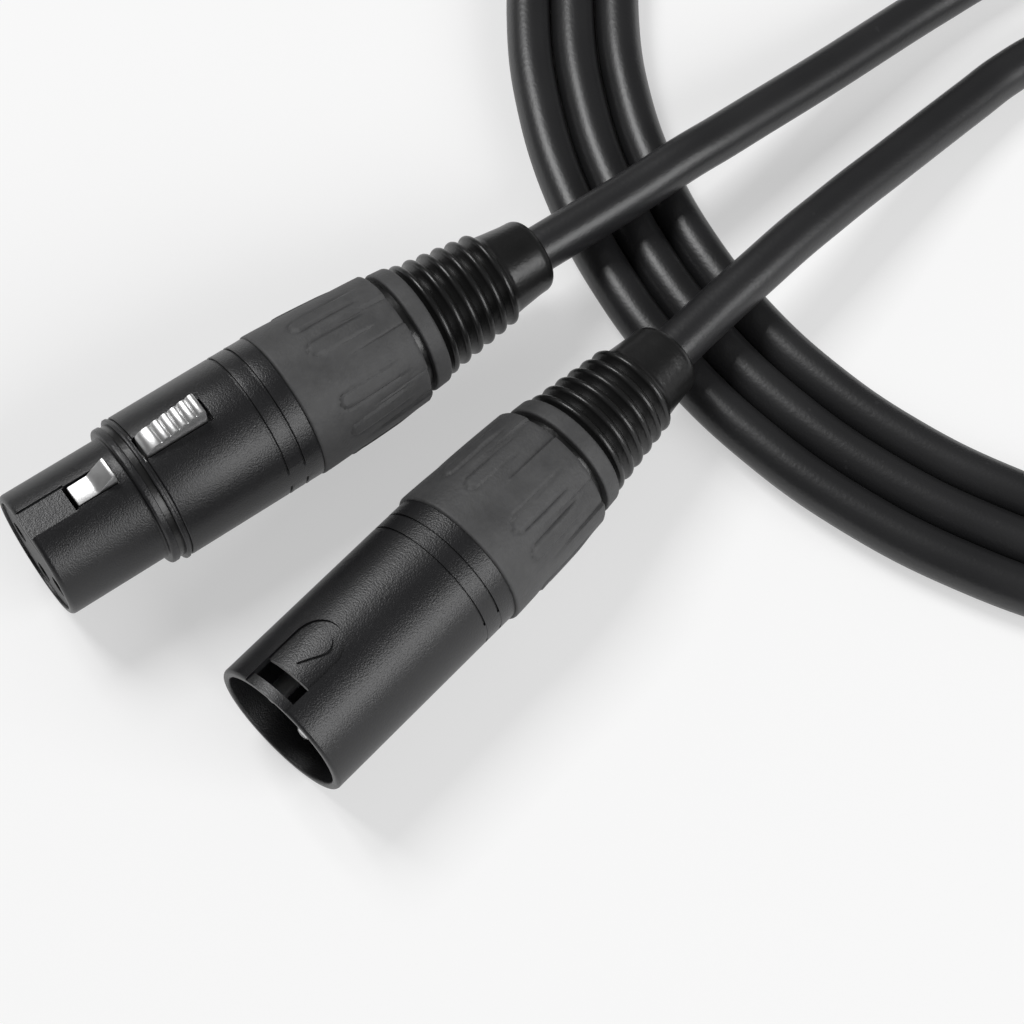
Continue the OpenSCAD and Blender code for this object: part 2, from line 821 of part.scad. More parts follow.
// Stations along one arc of the oval, as (middle, radius, angle)
function coil_stations(middle, r, from, to) =
    [for (i = [0 : coil_steps - 1]) [middle, r, from + (to - from) * i / coil_steps]];

module coil() {
    stations = concat(
        coil_stations(far_middle, coil_far_r, right_turn, left_turn),
        coil_stations(left_middle, coil_left_r, left_turn, near_from),
        coil_stations(near_middle, coil_near_r, near_from, near_to),
        coil_stations(right_middle, coil_right_r, near_to, right_turn + 360)
    );
    section = coil_section();
    count = len(stations);
    sides = len(section);
    skin = [for (i = [0 : count - 1], k = [0 : sides - 1])
        let (a = i * sides + k, b = i * sides + (k + 1) % sides, next = (i + 1) % count * sides)
        [a, b, next + (k + 1) % sides, next + k]
    ];
    color(jacket_black)
        polyhedron(
            points = [for (s = stations, q = section)
                let (flat = s[0] + on_circle(s[1] + q[0], s[2])) [flat.x, flat.y, q[1]]],
            faces = skin,
            convexity = 10
        );
}

module male_lead() {
    color(jacket_black) cord(lying(male_route), cable_r, 10, [0, 0, 1]);
}

module female_lead() {
    color(jacket_black) cord(lying(female_route), cable_r, 10, [0, 0, 1]);
}

female_shell();
female_gasket();
female_insert();
socket_contact(1);  // female_contact_1
socket_contact(2);  // female_contact_2
socket_contact(3);  // female_contact_3
latch();
latch_spring();
latch_pin();
as_socket() ground_contact(socket_ledge + pocket_offset);  // female_ground_contact
behind_socket() chuck();  // female_chuck
behind_socket() back_nut();  // female_back_nut
behind_socket() grip(socket_grip_start);  // female_grip
behind_socket() boot();  // female_boot
as_socket() wire(1, socket_cup_end, socket_shell_length + wire_end);  // female_wire_1
as_socket() wire(2, socket_cup_end, socket_shell_length + wire_end);  // female_wire_2
as_socket() wire(3, socket_cup_end, socket_shell_length + wire_end);  // female_wire_3
male_shell();
male_insert();
male_pin(1);  // male_pin_1
male_pin(2);  // male_pin_2
male_pin(3);  // male_pin_3
as_plug() ground_contact(plug_carrier_front + pocket_offset);  // male_ground_contact
behind_plug() chuck();  // male_chuck
behind_plug() back_nut();  // male_back_nut
behind_plug() grip(plug_grip_start);  // male_grip
behind_plug() boot();  // male_boot
as_plug() wire(1, plug_cup_end, plug_shell_length + wire_end);  // male_wire_1
as_plug() wire(2, plug_cup_end, plug_shell_length + wire_end);  // male_wire_2
as_plug() wire(3, plug_cup_end, plug_shell_length + wire_end);  // male_wire_3
male_lead();
coil();
female_lead();
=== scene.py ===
# %% [markdown]
# # A coiled microphone cable
# This lesson dresses a microphone cable: a three-pole socket connector with a bright latch, a
# three-pole plug connector, and a soft black cable that lies in a flat oval coil. The hard parts
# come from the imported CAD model, which stands in the same frame, in metres. Blender adds the
# finishes, the flowing cable and the small rounded forms that catch the light. Everything starts
# by loading that frame.

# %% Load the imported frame
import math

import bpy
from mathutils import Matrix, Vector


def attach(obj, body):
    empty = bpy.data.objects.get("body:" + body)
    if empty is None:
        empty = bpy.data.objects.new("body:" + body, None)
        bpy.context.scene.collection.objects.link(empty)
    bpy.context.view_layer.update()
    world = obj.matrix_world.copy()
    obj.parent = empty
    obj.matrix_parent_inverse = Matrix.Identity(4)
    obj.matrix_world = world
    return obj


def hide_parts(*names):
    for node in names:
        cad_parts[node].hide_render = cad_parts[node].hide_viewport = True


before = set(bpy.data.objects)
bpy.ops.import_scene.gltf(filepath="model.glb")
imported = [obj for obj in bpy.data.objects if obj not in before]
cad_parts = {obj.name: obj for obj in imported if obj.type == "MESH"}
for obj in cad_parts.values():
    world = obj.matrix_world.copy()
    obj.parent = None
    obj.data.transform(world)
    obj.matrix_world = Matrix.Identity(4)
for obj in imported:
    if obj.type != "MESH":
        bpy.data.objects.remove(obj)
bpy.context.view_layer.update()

# %% [markdown]
# Two helpers follow: one turns millimetres into metres, and one deselects everything, because
# Blender's operators act on whatever is selected and the loaded parts still are.

MM = 0.001


def in_metres(point):
    """A point given in millimetres, as a vector in metres."""
    return Vector(point) * MM


def nothing_selected():
    """Leaves edit mode and deselects every object."""
    if bpy.context.mode != "OBJECT":
        bpy.ops.object.mode_set(mode="OBJECT")
    bpy.ops.object.select_all(action="DESELECT")


nothing_selected()

# %% [markdown]
# The camera looks down at the table from the front right, steeply, with a long lens, so both
# connectors run from the lower left to the upper right. It is made first. The cable's lay was
# measured against what the camera sees.

# %% Set up the camera
SENSOR_WIDTH = 36.0
LENS = 84.375
CAMERA_AT = (105.2, -87.8, 263.35)
LOOKING_AT = (14.8, 10.65, 0)

camera_data = bpy.data.cameras.new("studio_camera")
camera_data.sensor_width = SENSOR_WIDTH
camera_data.lens = LENS
camera_data.clip_start = 0.01
camera_data.clip_end = 200.0
camera = bpy.data.objects.new("studio_camera", camera_data)
bpy.context.scene.collection.objects.link(camera)
camera.location = in_metres(CAMERA_AT)
line_of_sight = in_metres(LOOKING_AT) - camera.location
camera.rotation_euler = line_of_sight.to_track_quat("-Z", "Y").to_euler()
bpy.context.scene.camera = camera
bpy.context.scene.view_settings.view_transform = "Standard"
print("camera", round(line_of_sight.length, 4), "m from the table point it looks at")

# %% [markdown]
# The cable is one free cord of 6 mm. It leaves the plug's boot, drops to the table, joins the
# oval coil, runs round it three times and rises over the turns on its way back to the socket's
# boot. A cord is best drawn as a curve with a round bevel: the curve is its centreline, so its
# length and bends can be measured. The coil is worked out from four arcs that meet smoothly, the
# one nearest the connectors first, and each turn lies one cable width outside the last. These
# values are in millimetres and degrees.

# %% Work out the coil's centreline
CABLE_WIDTH = 6.0
LYING = CABLE_WIDTH / 2
NEAR_RADIUS = 81.6
LEFT_RADIUS = 46.0
RIGHT_RADIUS = 32.0
FAR_RADIUS = 100.0
NEAR_FROM = 215
NEAR_TO = 295
JOINS_AT = 37.13
RISES_FROM = 200
LEAVES_AT = 150.2


def on_circle(middle, radius, angle):
    """The point at an angle on a flat circle."""
    angle = math.radians(angle)
    return Vector(middle) + radius * Vector((math.cos(angle), math.sin(angle)))


def heading(way):
    """The angle of a flat vector."""
    return math.degrees(math.atan2(way.y, way.x))


near_middle = Vector((34.66, 130.74))
left_middle = on_circle(near_middle, NEAR_RADIUS - LEFT_RADIUS, NEAR_FROM)
right_middle = on_circle(near_middle, NEAR_RADIUS - RIGHT_RADIUS, NEAR_TO)
apart = right_middle - left_middle
left_reach = FAR_RADIUS - LEFT_RADIUS
right_reach = FAR_RADIUS - RIGHT_RADIUS
along = (left_reach ** 2 - right_reach ** 2 + apart.length ** 2) / (2 * apart.length)
aside = math.sqrt(left_reach ** 2 - along ** 2)
far_middle = left_middle + (along * apart + aside * Vector((apart.y, -apart.x))) / apart.length
left_turn = heading(left_middle - far_middle)
right_turn = heading(right_middle - far_middle)
print("far arc about", [round(value, 2) for value in far_middle],
      "from", round(left_turn, 1), "to", round(right_turn, 1))

# %% [markdown]
# On the far side, out of view, each turn eases out by one cable width, so the three lie side by
# side everywhere else. The last turn rises at its end, ready to cross back over the others. The
# points stand about a centimetre apart, close enough for a smooth curve to stay round.

# %% Wind the turns
TURNS = 3


def smooth(share):
    """Eases from 0 to 1."""
    share = min(max(share, 0.0), 1.0)
    return share * share * (3 - 2 * share)


def beside(turn):
    """How far outside the first turn another one lies."""
    return lambda angle: CABLE_WIDTH * turn


def easing_out(turn):
    """The same on the far side, where a turn moves out by one cable width."""
    return lambda angle: CABLE_WIDTH * (
        turn - 1 + smooth((left_turn - angle) / (left_turn - JOINS_AT)))


def level(angle):
    """The centreline's height on the table."""
    return LYING


def rising(angle):
    """The centreline's height where the last turn climbs by one cable width."""
    return LYING + CABLE_WIDTH * smooth((RISES_FROM - angle) / (RISES_FROM - LEAVES_AT))


def arc_points(middle, radius, start, end, count, offset, height=level):
    """Points along one arc, without its last; offset and height are functions of the angle."""
    points = []
    for i in range(count):
        angle = start + (end - start) * i / count
        points.append((*on_circle(middle, radius + offset(angle), angle), height(angle)))
    return points


def coil_points():
    """The clockwise turns, from where the plug's lead joins to where the socket's leaves."""
    points = arc_points(far_middle, FAR_RADIUS, JOINS_AT, right_turn, 3, beside(0))
    for turn in range(TURNS):
        out = beside(turn)
        if turn > 0:
            points += arc_points(
                far_middle, FAR_RADIUS, left_turn, right_turn, 9, easing_out(turn))
        points += arc_points(right_middle, RIGHT_RADIUS, 360 + right_turn, NEAR_TO, 8, out)
        points += arc_points(near_middle, NEAR_RADIUS, NEAR_TO, NEAR_FROM, 9, out)
        if turn < TURNS - 1:
            points += arc_points(left_middle, LEFT_RADIUS, NEAR_FROM, left_turn, 12, out)
    points += arc_points(left_middle, LEFT_RADIUS, NEAR_FROM, LEAVES_AT, 7, out, rising)
    return points


coil_line = coil_points()
print("coil has", len(coil_line), "points")

# %% [markdown]
# The two leads repeat the CAD model's own route points, so the dressed cable lies where its
# solids lie. The third value says how far the cable is raised, from 0 on the table to 1 at the
# connector's axis. Between the boots the points join into one open spline. A Bezier spline with
# automatic handles flows through every point without flats. The bevel is one unit deep and each
# knot's own radius shrinks it to the cable's.

# %% Lay the cable
AXIS_HEIGHT = 9.65
PLUG_ROUTE = [
    (17.6, 22, 1), (17.6, 36.9, 1), (17.6, 45, 0.96), (17.8, 53.9, 0.92), (17.9, 60, 0.86),
    (18.1, 66, 0.75), (18.3, 72, 0.62), (18.6, 78, 0.48), (18.9, 84, 0.35), (19.2, 90, 0.22),
    (19.6, 96, 0.12), (20.1, 102, 0.05), (21.8, 109.8, 0), (25.2, 117, 0), (30.6, 122.9, 0),
    (37.4, 127.1, 0), (45.1, 129.4, 0), (53.1, 129.6, 0), (60.8, 127.6, 0), (67.8, 123.7, 0),
]
SOCKET_ROUTE = [
    (-7.5, 21.4, 1), (-4.55, 35.8, 1), (-2.95, 44, 0.96), (-1.5, 52, 0.92), (-0.2, 60, 0.9),
    (0.75, 66, 0.8), (1.5, 72, 0.67), (2.25, 78, 0.53), (3, 84, 0.4), (3.7, 90, 0.28),
    (4.4, 96, 0.17), (5.2, 102, 0.08), (6.4, 109, 0.02), (8.4, 119.3, 0.05), (8.9, 129.7, 0.27),
    (5.5, 139.2, 0.57), (-1, 146.9, 0.84), (-9.7, 151.9, 0.9), (-19.6, 153.7, 0.9),
    (-29.6, 151.9, 0.9), (-38.3, 146.9, 0.9), (-44.83, 139.15, 0.9),
]


def lying(route):
    """The cable's centreline along a route, in millimetres."""
    return [(x, y, LYING + raised * (AXIS_HEIGHT - LYING)) for x, y, raised in route]


cable_line = lying(PLUG_ROUTE) + coil_line + lying(SOCKET_ROUTE)[::-1]


def curve_through(name, points, radius):
    """A round cord whose centreline passes through points given in millimetres."""
    data = bpy.data.curves.new(name, "CURVE")
    data.dimensions = "3D"
    data.bevel_depth = 1.0
    data.bevel_resolution = 7
    data.resolution_u = 10
    data.use_fill_caps = True
    spline = data.splines.new("BEZIER")
    spline.bezier_points.add(len(points) - 1)
    for knot, point in zip(spline.bezier_points, points):
        knot.co = in_metres(point)
        knot.radius = radius
        knot.handle_left_type = knot.handle_right_type = "AUTO"
    made = bpy.data.objects.new(name, data)
    bpy.context.scene.collection.objects.link(made)
    return made


cable = curve_through("microphone_cable", cable_line, CABLE_WIDTH / 2 * MM)
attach(cable, "cable")
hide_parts("male_lead", "coil", "female_lead")

# %% [markdown]
# Each connector is modelled standing on its mouth, with distances along its axis as heights, and
# is then laid on the table. These two placings are the same as the CAD model's. The grip and the
# boot start where the shell ends, so each row below also holds the shell's length.

# %% Place the connectors
PLUG_SHELL = 29.4
SOCKET_SHELL = 34.6


def laid(x, y, turn, roll):
    """Lays a standing connector on the table, its key side up and then rolled."""
    return (Matrix.Translation(in_metres((x, y, AXIS_HEIGHT)))
            @ Matrix.Rotation(math.radians(turn), 4, "Z")
            @ Matrix.Rotation(math.pi, 4, "Z") @ Matrix.Rotation(math.pi / 2, 4, "X")
            @ Matrix.Rotation(math.radians(-roll), 4, "Z"))


as_plug = laid(17.6, -31.3, 0, 8.2)
as_socket = laid(-19.2, -35.2, -11.66, 0)
CONNECTORS = (
    ("plug", "male", as_plug, PLUG_SHELL),
    ("socket", "female", as_socket, SOCKET_SHELL),
)
print("placed the", " and the ".join(row[0] for row in CONNECTORS))

# %% [markdown]
# Most pieces of a connector are turned on a lathe or moulded round. Such a piece starts as a
# circle, which is extruded along the axis and resized again and again, one step for each corner
# of its section. The section closes on itself, so the last ring is merged with the first.

# %% Turn round pieces
MERGE_UNDER = 0.000002


def turned(name, section, around):
    """A closed round piece from (radius, station) corners in millimetres."""
    nothing_selected()
    radius, station = section[0]
    bpy.ops.mesh.primitive_circle_add(
        vertices=around, radius=radius * MM, location=(0, 0, station * MM))
    made = bpy.context.object
    made.name = name
    bpy.ops.object.transform_apply(location=True)
    bpy.ops.object.mode_set(mode="EDIT")
    bpy.ops.mesh.select_mode(type="VERT")
    bpy.ops.mesh.select_all(action="SELECT")
    for next_radius, next_station in list(section[1:]) + [section[0]]:
        climb = (0, 0, (next_station - station) * MM)
        bpy.ops.mesh.extrude_region_move(TRANSFORM_OT_translate={"value": climb})
        grow = next_radius / radius
        bpy.ops.transform.resize(
            value=(grow, grow, 1), center_override=(0, 0, next_station * MM))
        radius, station = next_radius, next_station
    bpy.ops.mesh.select_all(action="SELECT")
    bpy.ops.mesh.remove_doubles(threshold=MERGE_UNDER)
    bpy.ops.mesh.normals_make_consistent(inside=False)
    bpy.ops.object.mode_set(mode="OBJECT")
    return made


def arc(radius, station, size, start, end, steps=5):
    """Corners of a rounded edge about (radius, station)."""
    return [(radius + size * math.cos(math.radians(start + (end - start) * i / steps)),
             station + size * math.sin(math.radians(start + (end - start) * i / steps)))
            for i in range(steps + 1)]


def place_piece(piece, placing, node, body="cable", smooth_under=35):
    """Puts a piece's place into its mesh and lets it stand for a CAD node."""
    nothing_selected()
    piece.select_set(True)
    bpy.context.view_layer.objects.active = piece
    piece.matrix_world = placing
    bpy.ops.object.transform_apply(location=True, rotation=True, scale=True)
    bpy.ops.object.shade_smooth_by_angle(angle=math.radians(smooth_under))
    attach(piece, body)
    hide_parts(node)
    print(piece.name, len(piece.data.polygons), "faces")
    return piece


print("lathe ready")

# %% [markdown]
# The bending protection is one rubber moulding: a plain collar, six ribs that shrink towards the
# cable, and a sleeve with a rounded end. Round rib crests catch a thin line of light each.
# Stations are measured from the front of the grip, which the collar follows.

# %% Mould the boots
COLLAR_START = 17.5
COLLAR_END = 19.9
COLLAR_RADIUS = 8.2
RIBS = 6
FIRST_RIB = COLLAR_END + 1.05
RIB_PITCH = 1.97
RIB_WIDTH = 15.2
RIB_TAPER = 2.6
RIB_ROUNDING = 0.46
SLEEVE_RADIUS = 5.4
SLEEVE_LENGTH = 5.9
CABLE_BORE = 3.06
CORE_BORE = 6.06


def rib_section(i):
    """The valley in front of one rib, then its round crest."""
    crest = (RIB_WIDTH - RIB_TAPER * i / (RIBS - 1)) / 2
    station = FIRST_RIB + i * RIB_PITCH
    valley = arc(crest - 0.82, station - RIB_PITCH / 2 + 0.06, 0.16, -90, -80, 1)
    return valley + arc(crest - RIB_ROUNDING, station, RIB_ROUNDING, -82, 82, 8)


def boot_section():
    """Section of the boot: outside from its front to its end, then back through the bore."""
    points = arc(COLLAR_RADIUS - 0.3, COLLAR_START + 0.3, 0.3, -90, 0)
    points += arc(COLLAR_RADIUS - 0.15 - 0.5, COLLAR_END - 0.5, 0.5, 0, 80)
    for i in range(RIBS):
        points += rib_section(i)
    tail = FIRST_RIB + (RIBS - 1) * RIB_PITCH + 1.4
    points += [(SLEEVE_RADIUS + 0.05, tail - 0.35), (SLEEVE_RADIUS + 0.02, tail)]
    points += [(SLEEVE_RADIUS - 0.09 * i, tail + 0.7 * i) for i in range(1, 6)]
    points += arc(4.9 - 1.5, tail + SLEEVE_LENGTH - 1.5, 1.5, 8, 82, 7)
    points += [(CABLE_BORE + 0.06, tail + SLEEVE_LENGTH), (CABLE_BORE, tail + SLEEVE_LENGTH - 0.15)]
    points += [(CABLE_BORE, COLLAR_END), (CORE_BORE, COLLAR_END - 0.3), (CORE_BORE, COLLAR_START)]
    return points


boots = {}
for side, kind, placing, front in CONNECTORS:
    boot = turned(side + "_boot", [(radius, at + front) for radius, at in boot_section()], 112)
    boots[side] = place_piece(boot, placing, kind + "_boot", smooth_under=50)

# %% [markdown]
# The socket's shell is cast metal and round, so it can be turned too. The visible difference to
# a plain tube is in the edges: every corner is slightly rounded and shows a thin bright line.
# Behind each of the two grooves the metal stands a hair proud. The grooves fade at one side, so
# their rings are moved out again there.

# %% Turn the socket's shell
NOSE_BORE = 7.3
NOSE_RADIUS = 8.15
NOSE_LENGTH = 13.3
FLANGE_RADIUS = 9.2
FLANGE_END = 14.3
SEAL_RADIUS = 8.6
BAND_START = 15.1
BAND_RADIUS = 9.6
BAND_END = 15.6
BODY_START = 15.9
BODY_RADIUS = 9.5
BODY_BORE = 7.9
LEDGE = 15.0
GROOVES_BACK = (4.8, 2.5)


def grooves(radius, shell_length):
    """Two fine grooves near the rear of a shell, then its rear edge."""
    points = []
    for back in GROOVES_BACK:
        front = shell_length - back - 0.15
        points += arc(radius - 0.07, front - 0.07, 0.07, 0, 90, 3)
        points += [(radius - 0.25, front + 0.02), (radius - 0.25, front + 0.28)]
        points += arc(radius - 0.06, front + 0.40, 0.10, -90, 0, 4) + [(radius, front + 0.9)]
    return points + arc(radius - 0.15, shell_length - 0.15, 0.15, 0, 90, 3)


def shell_section():
    """Section of the socket's shell: outside from its mouth to its rear, then the bore."""
    nose = (arc(NOSE_BORE + 0.14, 0.14, 0.14, 180, 262, 3)
            + arc(NOSE_RADIUS - 0.62, 0.62, 0.62, -84, 0, 6)
            + arc(NOSE_RADIUS + 0.18, NOSE_LENGTH - 0.18, 0.18, 180, 96, 3))
    flange = (arc(FLANGE_RADIUS - 0.35, NOSE_LENGTH + 0.35, 0.35, -84, 0, 5)
              + arc(FLANGE_RADIUS - 0.12, FLANGE_END - 0.12, 0.12, 0, 90, 3)
              + [(SEAL_RADIUS, FLANGE_END), (SEAL_RADIUS, BAND_START)])
    band = (arc(BAND_RADIUS - 0.12, BAND_START + 0.12, 0.12, -90, 0, 3)
            + arc(BAND_RADIUS - 0.14, BAND_END - 0.14, 0.14, 0, 90, 3)
            + [(FLANGE_RADIUS, BAND_END), (FLANGE_RADIUS, BODY_START)])
    body = (arc(BODY_RADIUS - 0.18, BODY_START + 0.18, 0.18, -90, 0, 3)
            + grooves(BODY_RADIUS, SOCKET_SHELL))
    bore = [(BODY_BORE, SOCKET_SHELL), (BODY_BORE, LEDGE), (NOSE_BORE, LEDGE)]
    return nose + flange + band + body + bore


def fade_grooves(piece, radius, shell_length):
    """Fills both grooves again over a sixteenth of the way round."""
    filled = (radius - 0.02) * MM
    for vertex in piece.data.vertices:
        angle = math.degrees(math.atan2(vertex.co.y, vertex.co.x)) % 360
        across = math.hypot(vertex.co.x, vertex.co.y)
        behind = shell_length - vertex.co.z / MM
        in_skin = radius - 0.3 < across / MM < radius + 0.1
        if 165 < angle < 186 and in_skin and 1.5 < behind < 5.2:
            vertex.co.x *= filled / across
            vertex.co.y *= filled / across


socket_shell = turned("socket_shell", shell_section(), 144)
fade_grooves(socket_shell, BODY_RADIUS, SOCKET_SHELL)
print("socket shell turned")

# %% [markdown]
# The two latch slots and the key channel in front of them are cut with blocks, one corner low
# and one high. The plug's shell, with its window, its shallow arch and the raised drop mark,
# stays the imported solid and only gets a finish.

# %% Cut the slots
HOOK_SLOT = ((-1.7, 6.2, 6.1), (1.7, 10.6, 12.15))
TAB_SLOT = ((-1.7, 6.2, 15.75), (1.7, 10.6, 25.15))
KEY_CHANNEL = ((-1.95, 7.66, -1), (1.95, 9, 6.4))


def block(low, high):
    """A block between two corners in millimetres."""
    nothing_selected()
    middle = [(a + b) / 2 * MM for a, b in zip(low, high)]
    bpy.ops.mesh.primitive_cube_add(size=1, location=middle)
    made = bpy.context.object
    made.scale = [(b - a) * MM for a, b in zip(low, high)]
    bpy.ops.object.transform_apply(location=True, rotation=True, scale=True)
    return made


def cut_away(piece, cutter):
    """Takes one piece's shape out of another and discards it."""
    nothing_selected()
    piece.select_set(True)
    bpy.context.view_layer.objects.active = piece
    cut = piece.modifiers.new("cut", "BOOLEAN")
    cut.operation = "DIFFERENCE"
    cut.solver = "EXACT"
    cut.object = cutter
    bpy.ops.object.modifier_apply(modifier=cut.name)
    bpy.data.objects.remove(cutter, do_unlink=True)


for low, high in (HOOK_SLOT, TAB_SLOT, KEY_CHANNEL):
    cut_away(socket_shell, block(low, high))
place_piece(socket_shell, as_socket, "female_shell")

# %% [markdown]
# The grip is soft rubber over the nut. Its five sectors rise towards the rear and end in creases,
# and ten finger pads stand a little proud inside a fine moulded line. That is a height field
# round a tapered tube, so the height is worked out first, for a point u millimetres behind the
# grip's front and turned by some degrees within its sector.

# %% Work out the grip's pattern
GRIP_LENGTH = 16.4
GRIP_WIDTH = 19.3
GRIP_TAPER = 2.3
SECTOR = 72
LOBE = 44.6
LOBES_FROM = 6
LOBE_RISE = 0.34
CREASE_DEPTH = 0.10
PADS_AT = (28.5, 55)
PAD_START = 5.4
PAD_END = 14.9
PAD_RISE = 0.16
PAD_LINE_DEPTH = 0.13


def grip_radius(u):
    """Radius of the plain grip, u millimetres behind its front."""
    return (GRIP_WIDTH - GRIP_TAPER * (u / GRIP_LENGTH) ** 1.35) / 2


def soft_step(value, width):
    """0 below zero, 1 above the width, eased between."""
    return smooth(value / width)


def lobe_height(u, turn):
    """Height of a sector, with the creases at its sides."""
    if u <= LOBES_FROM:
        return 0.0
    height = 0.0
    if turn < LOBE:
        rise = LOBE_RISE * ((u - LOBES_FROM) / (GRIP_LENGTH - LOBES_FROM)) ** 0.7
        height = rise * soft_step(turn, 1.6) * soft_step(LOBE - turn, 1.6)
    edge = min(abs(turn), abs(turn - LOBE), abs(turn - SECTOR))
    return height - CREASE_DEPTH * smooth((u - LOBES_FROM) / 5) * math.exp(-(edge / 1.1) ** 2)


def pad_height(u, turn, middle):
    """Height of one finger pad, with the fine line round it, fading to the rear."""
    if u >= PAD_END:
        return 0.0
    sideways = math.radians(abs(turn - middle)) * grip_radius(u)
    outside = math.hypot(sideways, min(0.0, u - PAD_START)) - 1.0
    line = math.exp(-((outside - 0.08) / 0.14) ** 2)
    return smooth((PAD_END - u) / 4) * (
        PAD_RISE * soft_step(-outside, 0.25) - PAD_LINE_DEPTH * line)


def grip_height(u, turn):
    """Height of the sectors and pads above the plain grip."""
    height = lobe_height(u, turn)
    for middle in PADS_AT:
        height += pad_height(u, turn, middle)
    return height


print("pads stand", round(grip_height(9, PADS_AT[0]) - lobe_height(9, PADS_AT[0]), 2), "mm proud")

# %% [markdown]
# The tube is turned with its skin sampled finely, and each point of the skin is moved out by the
# height of the pattern there.

# %% Mould the grips
SKIN_ROWS = 64
GRIP_BORE = 7.6


def grip_piece(name, front, start):
    """One soft grip, its pattern turned by the start angle."""
    skin = [0.35 + (GRIP_LENGTH - 0.65) * i / SKIN_ROWS for i in range(SKIN_ROWS + 1)]
    rear = front + GRIP_LENGTH
    made = turned(name, [(GRIP_BORE, rear), (GRIP_BORE, front)]
                  + arc(GRIP_WIDTH / 2 - 0.35, front + 0.35, 0.35, -90, 0, 4)[:-1]
                  + [(grip_radius(u), front + u) for u in skin]
                  + [(grip_radius(GRIP_LENGTH) - 0.12, rear - 0.06), (8.1, rear)], 256)
    for vertex in made.data.vertices:
        across = math.hypot(vertex.co.x, vertex.co.y)
        u = vertex.co.z / MM - front
        if across > 8.3 * MM and 0.3 < u < GRIP_LENGTH - 0.01:
            turn = (math.degrees(math.atan2(vertex.co.y, vertex.co.x)) - start) % SECTOR
            rounded = 0.12 if u > GRIP_LENGTH - 0.2 else 0
            wanted = grip_radius(u) + grip_height(u, turn) - rounded
            vertex.co.x *= wanted * MM / across
            vertex.co.y *= wanted * MM / across
    return made


grips = [
    place_piece(grip_piece("plug_grip", PLUG_SHELL, 101), as_plug, "male_grip"),
    place_piece(grip_piece("socket_grip", SOCKET_SHELL, 111.2), as_socket, "female_grip"),
]

# %% [markdown]
# The latch is one bright stamping seen through two slots: a flat tongue that climbs to the hook,
# and a push tab with rounded finger ridges. Its side outline runs from the tongue's tip over the
# ramp to the hook, then over the ridges to the tail at the pivot, and back underneath.

# %% Draw the latch's side
TAB_FRONT = 16.05
TAB_LENGTH = 8.4
TAB_HEIGHT = 10.25
TAB_CLIMB = 1.7
RIDGE_DEPTH = 0.32
RIDGE_STEPS = 8
VALLEYS = [16.5, 18.35, 19.57, 20.79, 22.01, 23.23, 24.35]


def tab_height(station):
    """The tab's sloping top, before the ridges."""
    return TAB_HEIGHT + TAB_CLIMB * (station - TAB_FRONT) / TAB_LENGTH


def ridge(first, last):
    """One round ridge, from behind one valley to the bottom of the next."""
    points = []
    for i in range(1, RIDGE_STEPS):
        station = first + (last - first) * i / RIDGE_STEPS
        bulge = math.sin(math.pi * i / RIDGE_STEPS) ** 0.55
        points.append((station, tab_height(station) - RIDGE_DEPTH * (1 - bulge)))
    return points + [(last, tab_height(last) - RIDGE_DEPTH)]


def latch_outline():
    """Corners of the latch's side as (station, height) in millimetres."""
    tongue = [(6.7, 6.75), (6.62, 7.55), (6.7, 7.72), (6.9, 7.8), (9.1, 7.86), (9.4, 7.94)]
    ramp = [(9.4 + 1.95 * i / 4, 7.94 + 1.5 * i / 4) for i in range(1, 5)]
    hook = [(11.6, 9.56), (11.78, 9.55), (11.88, 9.42), (11.9, 7.0)]
    tab = [(16.2, 7.0), (16.12, 9.5), (16.18, 9.75)]
    for first, last in zip(VALLEYS, VALLEYS[1:]):
        tab += ridge(first, last)
    tail = [(24.45, 11.3), (24.45, 7.0), (28.2, 6.0), (28.2, 4.7)]
    return tongue + ramp + hook + tab + tail + [(22.45, 5.9), (11.9, 5.9), (8.6, 5.9)]


outline = latch_outline()
print("latch has", len(outline), "corners")

# %% [markdown]
# The outline is extruded over the width of the slot, and all long edges are bevelled, because
# polished edges are what the eye finds first on such metal. A barrel round the pivot joins it.

# %% Shape the latch
LATCH_WIDTH = 2.9
LATCH_BEVEL = 0.11
PIVOT = (0, 6, 28.2)
BARREL_RADIUS = 1.3


def latch_piece():
    """The whole lever, with its pivot barrel."""
    nothing_selected()
    bpy.ops.mesh.primitive_circle_add(vertices=len(outline), radius=0.01, fill_type="NGON")
    made = bpy.context.object
    made.name = "latch_lever"
    for vertex, (station, height) in zip(made.data.vertices, outline):
        vertex.co = in_metres((-LATCH_WIDTH / 2, height, station))
    bpy.ops.object.mode_set(mode="EDIT")
    bpy.ops.mesh.select_all(action="SELECT")
    bpy.ops.mesh.extrude_region_move(
        TRANSFORM_OT_translate={"value": (LATCH_WIDTH * MM, 0, 0)})
    bpy.ops.mesh.select_all(action="SELECT")
    bpy.ops.mesh.normals_make_consistent(inside=False)
    bpy.ops.object.mode_set(mode="OBJECT")
    bevel = made.modifiers.new("soft_edges", "BEVEL")
    bevel.width = LATCH_BEVEL * MM
    bevel.segments = 2
    bevel.limit_method = "ANGLE"
    bevel.angle_limit = math.radians(60)
    bpy.ops.object.modifier_apply(modifier=bevel.name)
    bpy.ops.mesh.primitive_cylinder_add(
        vertices=48, radius=BARREL_RADIUS * MM, depth=LATCH_WIDTH * MM,
        location=in_metres(PIVOT), rotation=(0, math.pi / 2, 0))
    barrel = bpy.context.object
    barrel.select_set(True)
    made.select_set(True)
    bpy.context.view_layer.objects.active = made
    bpy.ops.object.join()
    return made


lever = place_piece(
    latch_piece(), as_socket, "latch", body="latch", smooth_under=38)

